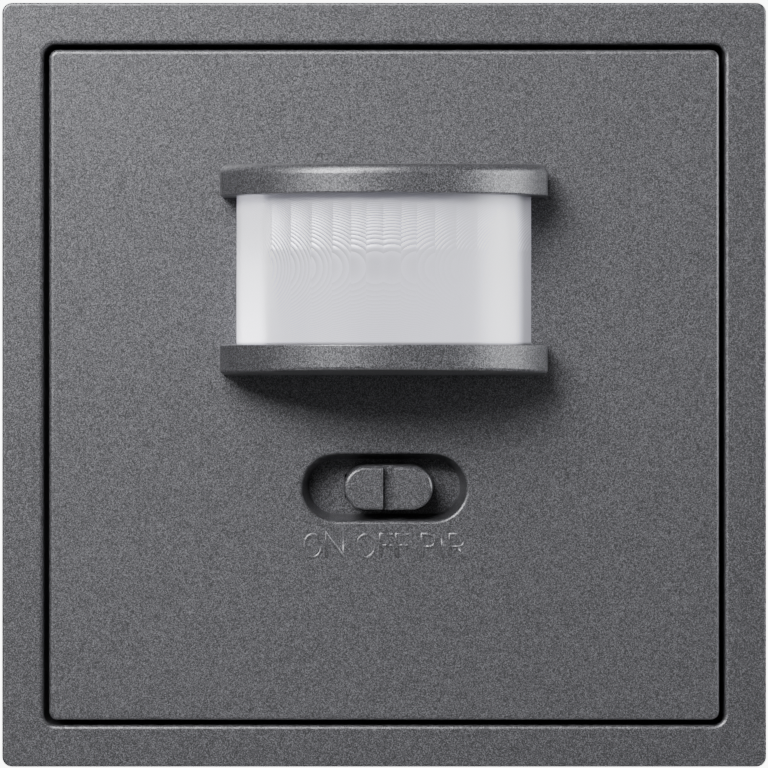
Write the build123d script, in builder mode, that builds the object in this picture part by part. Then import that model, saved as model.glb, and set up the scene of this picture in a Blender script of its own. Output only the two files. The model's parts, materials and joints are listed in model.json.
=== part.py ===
from build123d import *
from math import atan, cos, degrees, radians, sin, sqrt, tan
import os

# Flush wall switch with a motion sensor. Millimetres, +Z up, the viewer looks along +Y.
# The wall face is Y = 0 and the origin is the middle of the support ring's back face.
# A height is measured from the wall towards the viewer, so height h lies at Y = -h,
# and everything inside the wall box has a negative height.

# Surround frame
frame_rim_width = 4.45
frame_corner_radius = 1.1
frame_edge_radius = 0.35
frame_ring_gap = 0.55
frame_opening_radius = 1.2
frame_opening_edge_radius = 0.45
frame_rim_wall = 1.3
frame_front_wall = 1.5
frame_rib_thickness = 1.0
frame_rib_pitch = 17.0
frame_ribs_per_side = 4
ledge_back = 2.4
ledge_thickness = 1.6
ledge_width = 4.55
ledge_corner_radius = 3.0
ledge_notch_depth = 2.8
ledge_notch_width = 9.0

# Cover plate
plate_gap = 0.6
plate_proud = 0.6
plate_wall = 2.0
plate_corner_radius = 0.9
plate_edge_radius = 0.5
skirt_wall = 1.4

# Sensor hood moulded on the plate
hood_width = 34.3
hood_height = 22.24
hood_protrusion = 16.0
hood_bow = 10.82
hood_draft_angle = 2.1
hood_shoulder_radius = 2.0
hood_top_edge_radius = 1.0
hood_low_edge_radius = 0.35
hood_lip_radius = 0.15
upper_bar_thickness = 3.5
lower_bar_thickness = 3.2
bar_core_thickness = 1.0
bar_core_wall = 1.4

# Fresnel lens
lens_inset = 1.8
lens_side_inset = 1.75
lens_wall = 0.9
lens_clearance = 0.06
lens_seat_depth = 0.3
lens_flange_width = 1.4
lens_flange_thickness = 1.0
lens_zone_count = 15
lens_zone_groove = 0.12

# Lens retainer and its staking posts
retainer_margin = 2.4
retainer_shell_gap = 0.93
retainer_thickness = 1.2
retainer_rim_share = 0.94
retainer_corner_radius = 1.5
stake_radius = 0.8
stake_clearance = 0.05
stake_head_radius = 1.3
stake_head_height = 0.7
stake_margin = 1.3

# Slider recess
recess_length = 17.4
recess_height = 7.1
recess_depth = 4.8
recess_middle = -10.85
recess_floor_inset = 0.62
recess_rim_radius = 0.4
trough_wall = 1.0

# Slide switch and its knob
switch_travel_left = 3.45
switch_travel_right = 2.55
switch_rest_offset = 0.45
switch_end_play = 0.15
actuator_length = 2.0
actuator_width = 2.0
actuator_reach = 2.8
actuator_fit = 0.05
carriage_length = 5.0
carriage_width = 3.0
carriage_thickness = 0.7
switch_wall = 0.5
switch_height = 1.7
switch_trough_gap = 0.2
floor_slot_clearance = 0.25
knob_length = 9.6
knob_width = 4.85
knob_proud = 1.8
knob_float = 0.12
knob_draft_angle = 1.0
knob_edge_radius = 0.45
knob_groove_width = 1.1
knob_groove_depth = 1.4
knob_groove_edge_radius = 0.12

# Rear shell of the sensor unit
shell_step = 5.0
shell_corner_radius = 3.0
shell_wall = 1.2
shell_floor = 1.0
shell_ring_gap = 0.7
bay_side_gap = 2.4
bay_channel_gap = 0.9
bay_corner_radius = 6.0
bay_depth = 6.7
lug_proud = 0.8
lug_height = 0.8
lug_length = 6.0
lug_place = 14.0

# Catches between the plate and the shell, and between the plate and the ring
catch_thickness = 1.2
catch_width = 5.0
catch_play = 0.2
catch_nose_height = 1.0
shell_catch_gap = 0.9
ring_leg_width = 3.4
ring_leg_nose = 0.95
ring_leg_gap = 0.3

# Control board and what stands on it
board_thickness = 1.6
board_gap = 0.3
board_corner_radius = 1.5
holder_height = 11.0
holder_proud = 1.8
sensor_angle = 30.0
sensor_flange_share = 0.235
sensor_flange_rim = 0.5
sensor_flange_thickness = 0.5
sensor_can_height = 3.8
sensor_can_edge_radius = 0.5
sensor_window_wide_share = 0.56
sensor_window_tall_share = 0.415
sensor_window_depth = 0.25
side_part_gap = 0.5
side_part_rim_gap = 0.07
led_radius = 1.5
led_height = 5.0
led_collar_radius = 1.8
led_collar_height = 1.0
photodiode_size = 3.0
photodiode_height = 2.4
photodiode_window_radius = 1.0
chip_size = 7.0
chip_height = 1.2
chip_side_margin = 7.0
chip_low_margin = 3.0
smoothing_radius = 3.15
smoothing_height = 5.4
smoothing_screw_gap = 1.15
smoothing_header_gap = 0.95
smoothing_edge_radius = 0.5
board_screw_wall_gap = 0.9
board_screw_shank_radius = 0.85
board_screw_head_radius = 1.9
board_screw_head_height = 1.2
board_screw_grip = 3.1
board_screw_clearance = 0.1
post_radius = 2.2
post_retainer_gap = 0.93

# Setting dials behind the sensor unit
dial_wall_gap = 3.7
dial_radius = 3.0
dial_hole_clearance = 0.25
dial_shaft_radius = 1.0
dial_shaft_length = 2.0
dial_fit = 0.05
dial_slot_width = 1.0
dial_slot_depth = 1.2
dial_recess = 0.1
dial_gap = 0.4
dial_edge_radius = 0.2
dial_count = 3
trimmer_size = 6.6
trimmer_height = 3.4

# Plug connection between the sensor unit and the insert
pin_count = 6
pin_pitch = 3.0
pin_radius = 0.45
pin_clearance = 0.05
header_wall_gap = 0.3
pin_solder_length = 0.7
pin_depth = 11.0
header_height = 2.5
header_width = 2.6
header_margin = 2.0
plug_slot_clearance = 0.3
contact_radius = 0.85
contact_depth = 6.2
socket_width = 4.6
socket_margin = 1.0
socket_gap = 0.2

# Support ring
ring_end_margin = 1.75
ring_thickness = 1.2
ring_corner_cut = 5.0
ring_bay_gap = 2.0
ring_collar_height = 0.9
screw_pitch = 60.0
screw_slot_length = 7.5
screw_slot_width = 3.8
tab_place_x = 20.0
tab_width = 7.0
tab_height = 6.4
tab_window_width = 4.0
tab_window_low = 4.6
tab_window_high = 6.2
tab_bend_radius = 0.6
ring_notch_radius = 1.5

# Insert housing
insert_size = 50.0
insert_depth = 32.0
insert_wall = 1.6
insert_corner_radius = 5.0
insert_edge_radius = 0.8
channel_width = 11.0
channel_depth = 6.0
column_inset = 2.7
column_radius = 2.2
column_bore_depth = 6.0
ring_screw_radius = 1.2
ring_screw_clearance = 0.06
ring_screw_head_radius = 2.2
ring_screw_head_height = 0.8
ring_screw_length = 21.7
screw_slot_share = 0.22

# Insert lid and power board
lid_thickness = 1.6
lid_depth = 4.6
lid_gap = 0.2
power_board_depth = 14.4
lid_boss_radius = 2.1
relay_wall_gap = 1.9
relay_middle_gap = 2.5
relay_height = 15.0
relay_floor_gap = 2.9
relay_place_z = 3.0
relay_edge_radius = 0.5
film_wall_gap = 3.15
film_middle_gap = 2.75
film_height = 7.5
film_floor_gap = 2.4
film_place_z = 8.0
choke_radius = 4.6
choke_core_radius = 2.6
choke_flange = 1.2
choke_floor_gap = 5.4
choke_wall_gap = 7.3
choke_place_z = -2.5
varistor_radius = 4.5
varistor_depth = 3.6
varistor_wall_gap = 6.9
varistor_place_z = 6.0
varistor_edge_radius = 1.0
fuse_radius = 2.5
fuse_cap_radius = 2.7
fuse_cap_length = 2.0
fuse_length = 14.0
fuse_place_x = 9.0
fuse_place_z = 8.0

# Terminals
terminal_channel_gap = 0.15
terminal_gap = 0.25
terminal_wall_gap = 3.4
clamp_width = 5.4
clamp_height = 6.5
clamp_length = 7.6
clamp_wall = 1.0
clamp_back_gap = 0.2
clamp_leg_radius = 0.5
clamp_leg_clearance = 0.05
wire_hole_radius = 1.5
wire_clamp_gap = 0.2
terminal_screw_head_radius = 2.0
terminal_screw_head_height = 1.8
terminal_screw_radius = 1.3
terminal_screw_clearance = 0.05
terminal_screw_sink = 0.4
terminal_screw_reach = 2.1

# Spreader claws
claw_pivot_rise = 2.3
claw_pivot_depth = 5.0
claw_pin_radius = 1.0
claw_fit = 0.05
claw_hub_radius = 1.9
claw_width = 10.0
claw_cheek = 1.6
claw_foot_thickness = 1.6
claw_foot_drop = 1.4
claw_foot_reach = 7.7
claw_slot_start = 2.1
claw_slot_end = 6.4
claw_slot_width = 3.5
claw_arm_inner = 1.8
claw_arm_outer = 1.7
claw_jaw_depth = 17.0
claw_jaw_thickness = 2.4
claw_jaw_reach = 7.3
claw_tooth_depth = 1.0
claw_screw_reach = 4.2
claw_screw_radius = 1.5
claw_screw_length = 13.0
claw_screw_head_radius = 2.75
claw_screw_head_height = 1.0
claw_screw_clearance = 0.2
nut_radius = 2.0
nut_length = 6.0
nut_gap = 0.03
nut_fit = 0.05

overrun = 1.0

# Sizes across the front that follow from the sizes above, the screw pitch first
ring_size = screw_pitch + screw_slot_length + 2 * ring_end_margin
frame_opening = ring_size + 2 * frame_ring_gap
frame_size = frame_opening + 2 * frame_rim_width
ledge_opening = frame_opening - 2 * ledge_width
plate_size = frame_opening - 2 * plate_gap
lens_width = hood_width - 2 * lens_side_inset
hood_radius = ((hood_width / 2) ** 2 + hood_bow**2) / (2 * hood_bow)

# The lens opening sets the places of the light and the light sensor, the holder and its two sensors
side_part_place = (lens_width / 2 - lens_wall) * retainer_rim_share - led_radius - side_part_rim_gap
holder_width = 2 * (side_part_place - led_collar_radius - side_part_gap)
sensor_flange_radius = holder_width * sensor_flange_share
sensor_can_radius = sensor_flange_radius - sensor_flange_rim
sensor_window_width = 2 * sensor_can_radius * sensor_window_wide_share
sensor_window_height = 2 * sensor_can_radius * sensor_window_tall_share

# The insert sets the bay that dips into it, and the bay sets the shell, the board and the tabs
channel_floor = insert_size / 2 - channel_depth
bay_width = insert_size - 2 * (insert_wall + bay_side_gap)
bay_height = 2 * (channel_floor - insert_wall - bay_channel_gap)
shell_size = bay_width + 2 * shell_step
board_size = shell_size - 2 * (shell_wall + board_gap)
catch_inner = shell_size / 2 + shell_catch_gap
leg_outer = catch_inner + catch_thickness
tab_place_z = leg_outer + ring_leg_gap + ring_thickness / 2
ring_opening_width = bay_width + 2 * ring_bay_gap
ring_opening_height = bay_height + 2 * ring_bay_gap
ring_opening_radius = bay_corner_radius + ring_bay_gap
column_place = insert_size / 2 - insert_wall - column_inset

# The hood hangs from the shell: its lens flange and retainer end below the shell's upper wall
lens_high = shell_size / 2 - shell_wall - retainer_shell_gap - retainer_margin - lens_flange_width
hood_top = lens_high - lens_seat_depth + upper_bar_thickness
hood_bottom = hood_top - hood_height
hood_middle = hood_bottom + hood_height / 2
lens_low = hood_bottom + lower_bar_thickness - lens_seat_depth
lens_middle = (lens_low + lens_high) / 2
window_height = lens_high - lens_low - 2 * lens_seat_depth

# Places on the boards and in the insert
pin_middle = -(bay_height / 2 - shell_floor - header_wall_gap - header_width / 2)
board_screw_place_x = bay_width / 2 - shell_floor - board_screw_wall_gap - board_screw_head_radius
board_screw_low_z = -(bay_height / 2 + board_screw_head_radius)
board_screw_high_z = lens_low - lens_flange_width - retainer_margin - post_retainer_gap - post_radius
dial_pitch = bay_width / 2 - shell_floor - dial_wall_gap - trimmer_size / 2
dial_middle = bay_height / 2 - shell_floor - dial_wall_gap - trimmer_size / 2
chip_place_x = board_size / 2 - chip_side_margin - chip_size / 2
chip_place_z = -(board_size / 2 - chip_low_margin - chip_size / 2)
smoothing_place_x = -(board_screw_place_x - board_screw_head_radius - smoothing_screw_gap - smoothing_radius)
smoothing_place_z = pin_middle + header_width / 2 + smoothing_header_gap + smoothing_radius
insert_inside = insert_size / 2 - insert_wall
relay_width = insert_inside - relay_wall_gap - relay_middle_gap
relay_place_x = -relay_middle_gap - relay_width / 2
film_width = insert_inside - film_wall_gap - film_middle_gap
film_place_x = film_middle_gap + film_width / 2
choke_place_x = insert_inside - choke_wall_gap - choke_radius
varistor_place_x = -(insert_inside - varistor_wall_gap - varistor_radius)
clamp_top = -(insert_size / 2 - insert_wall - terminal_wall_gap - clamp_height)
wire_place = clamp_top - clamp_wall - wire_clamp_gap - wire_hole_radius
terminal_inner_place = channel_width / 2 + insert_wall + terminal_channel_gap + clamp_width / 2
terminal_outer_place = terminal_inner_place + clamp_width + terminal_gap
terminal_places = (-terminal_outer_place, -terminal_inner_place, terminal_inner_place, terminal_outer_place)
claw_pivot_place = channel_floor + claw_pivot_rise
claw_screw_place = claw_pivot_place + claw_screw_reach

# Heights that follow from the sizes above, stacked from the wall to the plate's face
shell_floor_height = ring_thickness + ring_screw_head_height + shell_ring_gap
board_back = shell_floor_height + shell_floor
board_front = board_back + board_thickness
trough_back = board_front + switch_height + switch_trough_gap
recess_floor = trough_back + trough_wall
plate_face = recess_floor + recess_depth
frame_depth = plate_face - plate_proud
holder_apex = plate_face + holder_proud
plate_back = plate_face - plate_wall
ledge_front = ledge_back + ledge_thickness
hood_centre = plate_face + hood_protrusion - hood_radius
hood_draft = hood_protrusion * tan(radians(hood_draft_angle))
lens_radius = hood_radius - lens_inset
retainer_width = lens_width + 2 * (lens_flange_width + retainer_margin)
retainer_height = lens_high - lens_low + 2 * (lens_flange_width + retainer_margin)
retainer_front = plate_back - lens_flange_thickness
bay_back = shell_floor_height - bay_depth
lid_front = -lid_depth
lid_back = lid_front - lid_thickness
power_board_front = -power_board_depth
power_board_back = power_board_front - board_thickness
housing_floor = insert_wall - insert_depth
relay_depth = power_board_back - housing_floor - relay_floor_gap
film_depth = power_board_back - housing_floor - film_floor_gap
choke_depth = power_board_back - housing_floor - choke_floor_gap


def arch_outline(width, radius, base):
    # seen from above: flat back, straight flanks and a round front about the hood's centre
    shoulder = hood_centre + sqrt(radius**2 - (width / 2) ** 2)
    with BuildLine() as arch:
        Polyline((-width / 2, -shoulder), (-width / 2, -base), (width / 2, -base), (width / 2, -shoulder))
        ThreePointArc((width / 2, -shoulder), (0, -hood_centre - radius), (-width / 2, -shoulder))
    make_face(arch.edges())


def insert_outline(inset):
    # rounded square with a channel for each claw, drawn in by a wall or a gap
    RectangleRounded(insert_size - 2 * inset, insert_size - 2 * inset, insert_corner_radius - inset)
    cut_height = channel_depth + overrun
    cut_middle = channel_floor - inset + cut_height / 2
    with Locations((0, cut_middle), (0, -cut_middle)):
        Rectangle(channel_width + 2 * inset, cut_height, mode=Mode.SUBTRACT)


def slotted_head(radius, height, place_x, place_z, seat):
    # round screw head on a seat height, with a driver slot
    with BuildSketch(Plane.XZ.offset(seat)) as head:
        with Locations((place_x, place_z)):
            Circle(radius)
    extrude(head.sketch, amount=height)
    with BuildSketch(Plane.XZ.offset(seat + height / 2)) as slot:
        with Locations((place_x, place_z)):
            Rectangle(2 * radius + overrun, 2 * radius * screw_slot_share)
    extrude(slot.sketch, amount=height, mode=Mode.SUBTRACT)


# Surround frame: hollow rim with ribs behind, ledge inside for the plate's skirt
with BuildPart() as frame:
    with BuildSketch(Plane.XZ):
        RectangleRounded(frame_size, frame_size, frame_corner_radius)
    extrude(amount=frame_depth)
    fillet(frame.faces().sort_by(Axis.Y)[0].edges(), frame_edge_radius)
    with BuildSketch(Plane.XZ.offset(ledge_front)):
        RectangleRounded(frame_opening, frame_opening, frame_opening_radius)
    extrude(amount=frame_depth - ledge_front, mode=Mode.SUBTRACT)
    fillet(frame.faces().sort_by(Axis.Y)[0].inner_wires()[0].edges(), frame_opening_edge_radius)
    with BuildSketch(Plane.XZ):
        RectangleRounded(frame_opening, frame_opening, frame_opening_radius)
    extrude(amount=ledge_back, mode=Mode.SUBTRACT)
    with BuildSketch(Plane.XZ.offset(ledge_back)):
        RectangleRounded(ledge_opening, ledge_opening, ledge_corner_radius)
        with PolarLocations(ledge_opening / 2, 4):
            Rectangle(2 * ledge_notch_depth, ledge_notch_width)
    extrude(amount=ledge_thickness, mode=Mode.SUBTRACT)
    with BuildSketch(Plane.XZ):
        Rectangle(frame_size - 2 * frame_rim_wall, frame_size - 2 * frame_rim_wall)
        Rectangle(frame_opening + 2 * frame_rim_wall, frame_opening + 2 * frame_rim_wall, mode=Mode.SUBTRACT)
        with PolarLocations((frame_size + frame_opening) / 4, 4):
            with GridLocations(0, frame_rib_pitch, 1, frame_ribs_per_side):
                Rectangle(frame_size - frame_opening, frame_rib_thickness, mode=Mode.SUBTRACT)
    extrude(amount=frame_depth - frame_front_wall, mode=Mode.SUBTRACT)
frame.part.label = "frame"

# Hood: the plan outline crossed with the drafted side outline, then opened for the lens
with BuildPart() as hood:
    with BuildSketch(Plane.XY.offset(hood_bottom)) as hood_plan:
        arch_outline(hood_width, hood_radius, plate_back)
        fillet(hood_plan.vertices().group_by(Axis.Y)[0], hood_shoulder_radius)
    extrude(amount=hood_height)
    with BuildSketch(Plane.YZ):
        with BuildLine():
            Polyline(
                (-plate_back, hood_bottom),
                (-plate_face, hood_bottom),
                (-plate_face - hood_protrusion, hood_bottom + hood_draft),
                (-plate_face - hood_protrusion, hood_top - hood_draft),
                (-plate_face, hood_top),
                (-plate_back, hood_top),
                close=True,
            )
        make_face()
    extrude(amount=hood_width, both=True, mode=Mode.INTERSECT)
    for level, edge_radius in ((1, hood_top_edge_radius), (-1, hood_low_edge_radius)):
        outer_edges = hood.edges().filter_by(
            lambda edge: level * (edge.center().Z - hood_middle) > hood_height / 2 - hood_draft - hood_lip_radius
            and edge.center().Y < -plate_face - hood_top_edge_radius
        )
        fillet(outer_edges, edge_radius)
    with BuildSketch(Plane.YZ):
        with Locations((-plate_face - hood_protrusion, lens_middle)):
            Rectangle(2 * hood_protrusion, window_height)
    extrude(amount=hood_width, both=True, mode=Mode.SUBTRACT)
    lip_edges = hood.edges().filter_by(
        lambda edge: abs(edge.center().Z - lens_middle) < (window_height + hood_lip_radius) / 2
        and edge.center().Y < -plate_face - hood_top_edge_radius
    )
    fillet(lip_edges, hood_lip_radius)

# Cover plate: skirted plate with the hood, lens window, slider recess, catches and posts
with BuildPart() as cover_plate:
    with BuildSketch(Plane.XZ.offset(ledge_front)):
        RectangleRounded(plate_size, plate_size, plate_corner_radius)
    extrude(amount=plate_face - ledge_front)
    fillet(cover_plate.faces().sort_by(Axis.Y)[0].edges(), plate_edge_radius)
    with BuildSketch(Plane.XZ.offset(ledge_front)):
        RectangleRounded(plate_size - 2 * skirt_wall, plate_size - 2 * skirt_wall, plate_corner_radius)
    extrude(amount=plate_back - ledge_front, mode=Mode.SUBTRACT)
    add(hood.part)
    # window and shallow seats in both bars, open from behind for the lens
    with BuildSketch(Plane.XY.offset(lens_low)):
        arch_outline(lens_width + 2 * lens_clearance, lens_radius + lens_clearance, plate_back - overrun)
    extrude(amount=lens_high - lens_low, mode=Mode.SUBTRACT)
    # cored bars
    for core_low in (lens_low - bar_core_wall / 2 - bar_core_thickness, lens_high + bar_core_wall / 2):
        with BuildSketch(Plane.XY.offset(core_low)):
            arch_outline(hood_width - 2 * bar_core_wall, hood_radius - bar_core_wall, plate_back - overrun)
        extrude(amount=bar_core_thickness, mode=Mode.SUBTRACT)
    # trough behind the slider recess
    with BuildSketch(Plane.XZ.offset(trough_back)):
        with Locations((0, recess_middle)):
            SlotOverall(recess_length + 2 * trough_wall, recess_height + 2 * trough_wall)
    extrude(amount=plate_back - trough_back)
    with BuildSketch(Plane.XZ.offset(plate_face)):
        with Locations((0, recess_middle)):
            SlotOverall(recess_length, recess_height)
    extrude(amount=-recess_depth, taper=degrees(atan(recess_floor_inset / recess_depth)), mode=Mode.SUBTRACT)
    rim_edges = cover_plate.edges().filter_by(
        lambda edge: abs(edge.center().Y + plate_face) < recess_rim_radius / 2
        and abs(edge.center().Z - recess_middle) < recess_height
        and abs(edge.center().X) < recess_length
    )
    fillet(rim_edges, recess_rim_radius)
    slot_travel = switch_travel_left + switch_travel_right
    with BuildSketch(Plane.XZ.offset(trough_back)):
        with Locations((0, recess_middle)):
            Rectangle(
                actuator_length + slot_travel + 2 * floor_slot_clearance,
                actuator_width + 2 * floor_slot_clearance,
            )
    extrude(amount=trough_wall, mode=Mode.SUBTRACT)
    # posts for the board screws
    post_places = (
        (-board_screw_place_x, board_screw_high_z),
        (board_screw_place_x, board_screw_high_z),
        (0, board_screw_low_z),
    )
    with BuildSketch(Plane.XZ.offset(board_front)):
        with Locations(*post_places):
            Circle(post_radius)
    extrude(amount=plate_back - board_front)
    with BuildSketch(Plane.XZ.offset(board_front)):
        with Locations(*post_places):
            Circle(board_screw_shank_radius + stake_clearance)
    extrude(amount=board_screw_grip + board_screw_clearance, mode=Mode.SUBTRACT)
    # staking posts that trap the lens retainer
    stake_grid = GridLocations(
        retainer_width - 2 * stake_margin, retainer_height - 2 * stake_margin, 2, 2
    )
    stake_places = [(spot.position.X, spot.position.Y + lens_middle) for spot in stake_grid]
    with BuildSketch(Plane.XZ.offset(retainer_front - retainer_thickness)):
        with Locations(*stake_places):
            Circle(stake_radius)
    extrude(amount=plate_back - retainer_front + retainer_thickness)
    with BuildSketch(Plane.XZ.offset(retainer_front - retainer_thickness)):
        with Locations(*stake_places):
            Circle(stake_head_radius)
    extrude(amount=-stake_head_height)
    # catches over the shell's lugs, two on each side
    catch_low = shell_floor_height + shell_wall + lug_height
    for side in (-1, 1):
        for end in (-1, 1):
            with BuildSketch(Plane.XY.offset(end * lug_place - catch_width / 2)):
                with BuildLine():
                    Polyline(
                        (side * catch_inner, -plate_back),
                        (side * catch_inner, -catch_low - catch_nose_height),
                        (side * (catch_inner - lug_proud), -catch_low - catch_nose_height),
                        (side * catch_inner, -catch_low),
                        (side * (catch_inner + catch_thickness), -catch_low),
                        (side * (catch_inner + catch_thickness), -plate_back),
                        close=True,
                    )
                make_face()
            extrude(amount=catch_width)
    # legs that click into the windows of the ring's tabs
    for side in (-1, 1):
        for end in (-1, 1):
            with BuildSketch(Plane.YZ.offset(side * tab_place_x - ring_leg_width / 2)):
                with BuildLine():
                    Polyline(
                        (-plate_back, end * leg_outer),
                        (-tab_window_low - catch_nose_height - catch_play, end * leg_outer),
                        (-tab_window_low - catch_nose_height - catch_play, end * (leg_outer + ring_leg_nose)),
                        (-tab_window_low - catch_play, end * (leg_outer + ring_leg_nose)),
                        (-tab_window_low, end * leg_outer),
                        (-tab_window_low, end * (leg_outer - catch_thickness)),
                        (-plate_back, end * (leg_outer - catch_thickness)),
                        close=True,
                    )
                make_face()
            extrude(amount=ring_leg_width)
cover_plate.part.label = "cover_plate"

# Fresnel lens: arched shell with a flange behind the plate, inner face parted into zones
with BuildPart() as fresnel_lens:
    lens_floor = plate_back - lens_flange_thickness
    with BuildSketch(Plane.XY.offset(lens_low + lens_clearance)):
        arch_outline(lens_width, lens_radius, lens_floor)
    extrude(amount=lens_high - lens_low - 2 * lens_clearance)
    with BuildSketch(Plane.XZ.offset(lens_floor)):
        with Locations((0, lens_middle)):
            Rectangle(lens_width + 2 * lens_flange_width, lens_high - lens_low + 2 * lens_flange_width)
    extrude(amount=lens_flange_thickness)
    with BuildSketch(Plane.XY.offset(lens_low)):
        arch_outline(lens_width - 2 * lens_wall, lens_radius - lens_wall, lens_floor)
    extrude(amount=lens_high - lens_low, mode=Mode.SUBTRACT)
    # fine grooves inside part the lens into its upright zones
    zone_half_angle = degrees(atan((lens_width / 2 - lens_wall) / sqrt(lens_radius**2 - (lens_width / 2) ** 2)))
    for zone in range(1, lens_zone_count):
        turn = radians(zone_half_angle * (2 * zone / lens_zone_count - 1))
        groove_place = lens_radius - lens_wall
        with BuildSketch(Plane.XY.offset(lens_low)):
            with Locations((groove_place * sin(turn), -hood_centre - groove_place * cos(turn))):
                RegularPolygon(lens_zone_groove, 4, rotation=degrees(turn))
        extrude(amount=lens_high - lens_low, mode=Mode.SUBTRACT)
fresnel_lens.part.label = "fresnel_lens"

# Lens retainer: flat ring behind the flange, held by the staked posts
with BuildPart() as lens_retainer:
    with BuildSketch(Plane.XZ.offset(retainer_front - retainer_thickness)):
        with Locations((0, lens_middle)):
            RectangleRounded(retainer_width, retainer_height, retainer_corner_radius)
            Rectangle(
                (lens_width - 2 * lens_wall) * retainer_rim_share,
                (lens_high - lens_low) * retainer_rim_share,
                mode=Mode.SUBTRACT,
            )
        with Locations(*stake_places):
            Circle(stake_radius + stake_clearance, mode=Mode.SUBTRACT)
    extrude(amount=retainer_thickness)
lens_retainer.part.label = "lens_retainer"

# Slide switch body with a window along its top for the actuator
with BuildPart() as slide_switch_body:
    carriage_room = carriage_length + slot_travel + 2 * switch_end_play
    with BuildSketch(Plane.XZ.offset(board_front)):
        with Locations((0, recess_middle)):
            Rectangle(carriage_room + 2 * switch_wall, carriage_width + 2 * (switch_wall + actuator_fit))
    extrude(amount=switch_height)
    with BuildSketch(Plane.XZ.offset(board_front + switch_wall)):
        with Locations((0, recess_middle)):
            Rectangle(carriage_room, carriage_width + 2 * actuator_fit)
    extrude(amount=carriage_thickness + 2 * actuator_fit, mode=Mode.SUBTRACT)
    with BuildSketch(Plane.XZ.offset(board_front + switch_wall)):
        with Locations((0, recess_middle)):
            Rectangle(
                actuator_length + slot_travel + 2 * switch_end_play, actuator_width + 2 * actuator_fit
            )
    extrude(amount=switch_height, mode=Mode.SUBTRACT)
slide_switch_body.part.label = "slide_switch_body"

# Actuator: carriage inside the body and a post that reaches into the knob
with BuildPart() as slide_switch_actuator:
    carriage_low = board_front + switch_wall + actuator_fit
    with BuildSketch(Plane.XZ.offset(carriage_low)):
        with Locations((switch_rest_offset, recess_middle)):
            Rectangle(carriage_length, carriage_width)
    extrude(amount=carriage_thickness)
    with BuildSketch(Plane.XZ.offset(carriage_low)):
        with Locations((switch_rest_offset, recess_middle)):
            Rectangle(actuator_length, actuator_width)
    extrude(amount=recess_floor + actuator_reach - carriage_low)
slide_switch_actuator.part.label = "slide_switch_actuator"

# Slider knob: drafted round-ended button with a grip groove, bored from below for the post
with BuildPart() as slider_knob:
    knob_base = recess_floor + knob_float
    knob_height = plate_face + knob_proud - knob_base
    with BuildSketch(Plane.XZ.offset(knob_base)):
        with Locations((switch_rest_offset, recess_middle)):
            SlotOverall(knob_length, knob_width)
    extrude(amount=knob_height, taper=knob_draft_angle)
    fillet(slider_knob.faces().sort_by(Axis.Y)[0].edges(), knob_edge_radius)
    with BuildSketch(Plane.XZ.offset(knob_base + knob_height - knob_groove_depth)):
        with Locations((switch_rest_offset, recess_middle)):
            Rectangle(knob_groove_width, knob_width + overrun)
    extrude(amount=knob_groove_depth + overrun, mode=Mode.SUBTRACT)
    groove_edges = slider_knob.edges().filter_by(Axis.Z).filter_by(
        lambda edge: edge.center().Y < -knob_base - knob_height + knob_groove_edge_radius
        and abs(edge.center().X - switch_rest_offset) < knob_groove_width
    )
    fillet(groove_edges, knob_groove_edge_radius)
    with BuildSketch(Plane.XZ.offset(knob_base)):
        with Locations((switch_rest_offset, recess_middle)):
            Rectangle(actuator_length + 2 * actuator_fit, actuator_width + 2 * actuator_fit)
    extrude(amount=actuator_reach, mode=Mode.SUBTRACT)
slider_knob.part.label = "slider_knob"

# Places that the board, header, shell and socket share
pin_places = [(spot.position.X, pin_middle) for spot in GridLocations(pin_pitch, 0, pin_count, 1)]
header_length = (pin_count - 1) * pin_pitch + header_margin
dial_places = [(spot.position.X, dial_middle) for spot in GridLocations(dial_pitch, 0, dial_count, 1)]

# Control board, clamped between the plate's posts and the shell's floor
with BuildPart() as control_board:
    with BuildSketch(Plane.XZ.offset(board_back)):
        RectangleRounded(board_size, board_size, board_corner_radius)
        with Locations(*pin_places):
            Circle(pin_radius + pin_clearance, mode=Mode.SUBTRACT)
        with Locations(*post_places):
            Circle(board_screw_shank_radius + board_screw_clearance, mode=Mode.SUBTRACT)
    extrude(amount=board_thickness)
control_board.part.label = "control_board"

# Board screws into the plate's posts
with BuildPart() as board_screws:
    with BuildSketch(Plane.XZ.offset(board_back)):
        with Locations(*post_places):
            Circle(board_screw_shank_radius)
    extrude(amount=board_thickness + board_screw_grip)
    for place_x, place_z in post_places:
        slotted_head(board_screw_head_radius, -board_screw_head_height, place_x, place_z, board_back)
board_screws.part.label = "board_screws"

# Sensor holder: roof with one slope for each sensor
sensor_slope = radians(sensor_angle)
roof_run = holder_width / 2 * tan(sensor_slope)
with BuildPart() as sensor_holder:
    with BuildSketch(Plane.XY.offset(lens_middle - holder_height / 2)):
        with BuildLine():
            Polyline(
                (-holder_width / 2, -board_front),
                (holder_width / 2, -board_front),
                (holder_width / 2, -holder_apex + roof_run),
                (0, -holder_apex),
                (-holder_width / 2, -holder_apex + roof_run),
                close=True,
            )
        make_face()
    extrude(amount=holder_height)
sensor_holder.part.label = "sensor_holder"


def sensor_plane(side):
    # on the middle of one roof slope, facing out and sideways
    middle = (side * holder_width / 4, -holder_apex + roof_run / 2, lens_middle)
    return Plane(origin=middle, x_dir=(0, 0, 1), z_dir=(side * sin(sensor_slope), -cos(sensor_slope), 0))


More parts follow.
